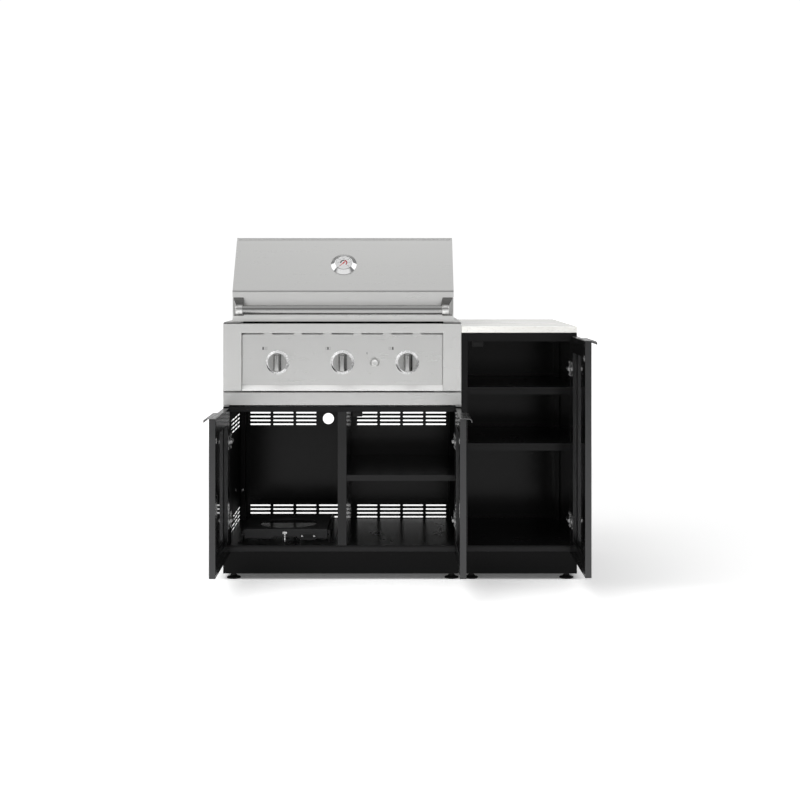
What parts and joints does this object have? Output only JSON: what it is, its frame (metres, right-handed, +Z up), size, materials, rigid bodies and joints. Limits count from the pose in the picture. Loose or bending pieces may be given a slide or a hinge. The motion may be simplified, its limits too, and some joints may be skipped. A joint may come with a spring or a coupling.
{
  "type": "outdoor kitchen island",
  "caption": "Outdoor kitchen island: gas grill on a vented two-door cabinet beside a stone-topped storage cabinet, with hinged doors, lifting hood and pull-out trays.",
  "frame": {"origin": "on the floor, at the middle of the box around the island with its doors open", "axes": "+Z up, front of the island towards -Y, +X to the right seen from the front"},
  "size_m": [1.279, 1.2274, 1.207],
  "materials": {
    "powder_coat": "fine satin black powder coat",
    "stainless": "horizontally brushed",
    "burner_steel": "satin tube steel",
    "hinge_steel": "bright nickel plated",
    "chrome_trim": "polished",
    "knob_metal": "satin turned metal",
    "grate_iron": "matt enamel",
    "stone_top": "honed, fine speckle",
    "door_metal": "dark grey satin",
    "door_glass": "gloss dark tinted",
    "foot_plastic": "black moulded"
  },
  "bodies": {
    "island": {"grill_cab_left_side": "powder_coat", "grill_cab_right_side": "powder_coat", "grill_cab_back": "powder_coat", "grill_cab_base": "powder_coat", "grill_cab_top_frame": "powder_coat", "grill_cab_divider": "powder_coat", "grill_cab_shelf": "powder_coat", "storage_cab_left_side": "powder_coat", "storage_cab_right_side": "powder_coat", "storage_cab_back": "powder_coat", "storage_cab_base": "powder_coat", "storage_cab_top_frame": "powder_coat", "storage_cab_shelf_upper": "powder_coat", "storage_cab_shelf_lower": "powder_coat", "grill_foot_front_left": "foot_plastic", "grill_foot_front_right": "foot_plastic", "grill_foot_rear_left": "foot_plastic", "grill_foot_rear_right": "foot_plastic", "storage_foot_front_left": "foot_plastic", "storage_foot_front_right": "foot_plastic", "storage_foot_rear_left": "foot_plastic", "storage_foot_rear_right": "foot_plastic", "left_door_hinge_lower": "hinge_steel", "left_door_hinge_upper": "hinge_steel", "middle_door_hinge_lower": "hinge_steel", "middle_door_hinge_upper": "hinge_steel", "storage_door_hinge_lower": "hinge_steel", "storage_door_hinge_upper": "hinge_steel", "tray_rail_left": "powder_coat", "tray_rail_right": "powder_coat", "grill_body": "stainless", "control_fascia": "stainless", "knob_bezel_left": "chrome_trim", "knob_bezel_centre": "chrome_trim", "knob_bezel_right": "chrome_trim", "burner_left": "burner_steel", "burner_centre": "burner_steel", "burner_right": "burner_steel", "grate_left": "grate_iron", "grate_right": "grate_iron", "countertop": "stone_top"},
    "left_door": {"left_door_frame": "door_metal", "left_door_glass": "door_glass", "left_door_handle": "door_metal"},
    "middle_door": {"middle_door_frame": "door_metal", "middle_door_glass": "door_glass", "middle_door_handle": "door_metal"},
    "storage_door": {"storage_door_frame": "door_metal", "storage_door_glass": "door_glass", "storage_door_handle": "door_metal"},
    "grill_hood": {"hood": "stainless", "hood_handle": "stainless", "hood_thermometer": "chrome_trim"},
    "control_knob_left": {"knob_left": "knob_metal"},
    "control_knob_centre": {"knob_centre": "knob_metal"},
    "control_knob_right": {"knob_right": "knob_metal"},
    "igniter": {"igniter_button": "chrome_trim"},
    "bottle_tray": {"tank_tray": "powder_coat"},
    "bottle_tray_latch": {"tray_latch": "chrome_trim"},
    "grease_tray": {"drip_tray": "stainless"}
  },
  "joints": [
    {"name": "left_door_hinge", "type": "hinge", "parent": "island", "child": "left_door", "pos_m": [-0.6112, -0.2063, 0.3], "axis": [0, 0, -1], "range_deg": [-89.8, 5.1]},
    {"name": "middle_door_hinge", "type": "hinge", "parent": "island", "child": "middle_door", "pos_m": [0.2046, -0.2063, 0.3], "axis": [0, 0, 1], "range_deg": [-89.8, 5.1]},
    {"name": "storage_door_hinge", "type": "hinge", "parent": "island", "child": "storage_door", "pos_m": [0.6112, -0.2063, 0.4], "axis": [0, 0, 1], "range_deg": [-89.8, 5.1]},
    {"name": "hood_hinge", "type": "hinge", "parent": "island", "child": "grill_hood", "pos_m": [-0.2044, 0.3797, 0.925], "axis": [-1, 0, 0], "range_deg": [0, 75]},
    {"name": "knob_left_turn", "type": "hinge", "parent": "island", "child": "control_knob_left", "pos_m": [-0.4334, -0.1923, 0.764], "axis": [0, -1, 0], "range_deg": [0, 180]},
    {"name": "knob_centre_turn", "type": "hinge", "parent": "island", "child": "control_knob_centre", "pos_m": [-0.2044, -0.1923, 0.764], "axis": [0, -1, 0], "range_deg": [0, 180]},
    {"name": "knob_right_turn", "type": "hinge", "parent": "island", "child": "control_knob_right", "pos_m": [0.0246, -0.1923, 0.764], "axis": [0, -1, 0], "range_deg": [0, 180]},
    {"name": "igniter_press", "type": "slide", "parent": "island", "child": "igniter", "axis": [0, 1, 0], "range_m": [0, 0.004], "stiffness_N_per_m": 400},
    {"name": "bottle_tray_slide", "type": "slide", "parent": "island", "child": "bottle_tray", "axis": [0, -1, 0], "range_m": [0, 0.25]},
    {"name": "tray_latch_turn", "type": "hinge", "parent": "bottle_tray", "child": "bottle_tray_latch", "pos_m": [-0.4101, -0.1473, 0.158], "axis": [0, 1, 0], "range_deg": [0, 90]},
    {"name": "drip_tray_slide", "type": "slide", "parent": "island", "child": "grease_tray", "axis": [0, -1, 0], "range_m": [0, 0.3]}
  ]
}
